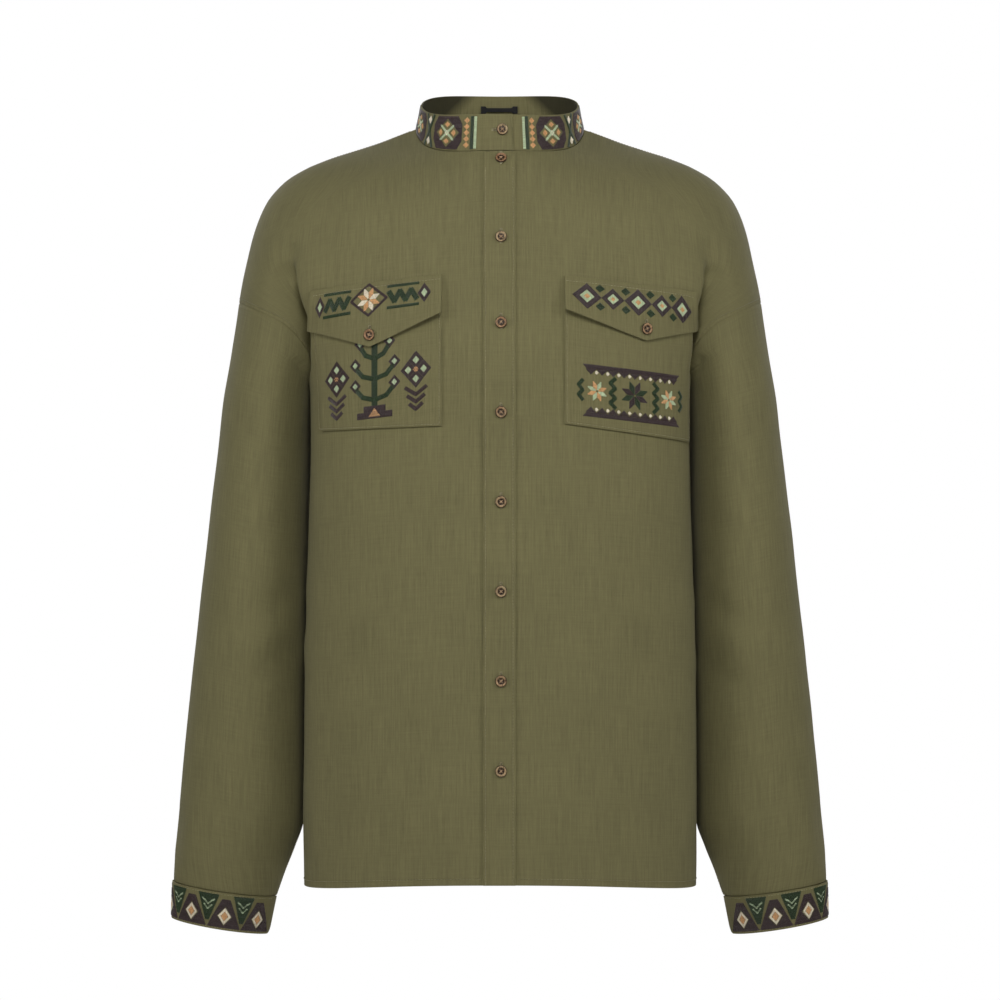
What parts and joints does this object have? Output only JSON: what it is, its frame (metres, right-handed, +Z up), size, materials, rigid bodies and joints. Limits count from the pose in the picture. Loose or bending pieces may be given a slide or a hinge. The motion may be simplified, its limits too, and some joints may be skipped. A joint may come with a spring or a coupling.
{
  "type": "vyshyvanka shirt",
  "caption": "Long sleeved shirt with a stand collar, buttoned front and flapped chest pockets, in the hollow form it takes when worn, with embroidered bands.",
  "frame": {"origin": "centre of the base of the neck, between the shoulders that hold the shirt up", "axes": "+Z up from hem to collar, -Y out of the buttoned front, +X towards the wearer's left sleeve"},
  "size_m": [0.6554, 0.2608, 0.8415],
  "materials": {
    "shirt_cloth": "matte olive plain weave with a fine slub",
    "button_shell": "turned brown nutshell, satin",
    "black_tape": "matte woven tape",
    "sewing_thread": "twisted sewing thread",
    "embroidery_green": "dark green embroidery thread with a soft sheen",
    "embroidery_brown": "dark brown embroidery thread with a soft sheen",
    "embroidery_mint": "pale green embroidery thread with a soft sheen",
    "embroidery_cream": "cream embroidery thread with a soft sheen",
    "embroidery_tan": "tan embroidery thread with a soft sheen"
  },
  "bodies": {
    "root": {"front_right": "shirt_cloth", "front_left": "shirt_cloth", "back": "shirt_cloth", "sleeve_right": "shirt_cloth", "sleeve_left": "shirt_cloth", "collar": "shirt_cloth", "cuff_right": "shirt_cloth", "cuff_left": "shirt_cloth", "placket": "shirt_cloth", "pocket_right": "shirt_cloth", "pocket_left": "shirt_cloth", "flap_right": "shirt_cloth", "flap_left": "shirt_cloth", "button_collar": "button_shell", "button_placket_1": "button_shell", "button_placket_2": "button_shell", "button_placket_3": "button_shell", "button_placket_4": "button_shell", "button_placket_5": "button_shell", "button_placket_6": "button_shell", "button_placket_7": "button_shell", "button_placket_8": "button_shell", "button_flap_right": "button_shell", "button_flap_left": "button_shell", "hanger_loop": "black_tape"}
  },
  "joints": []
}
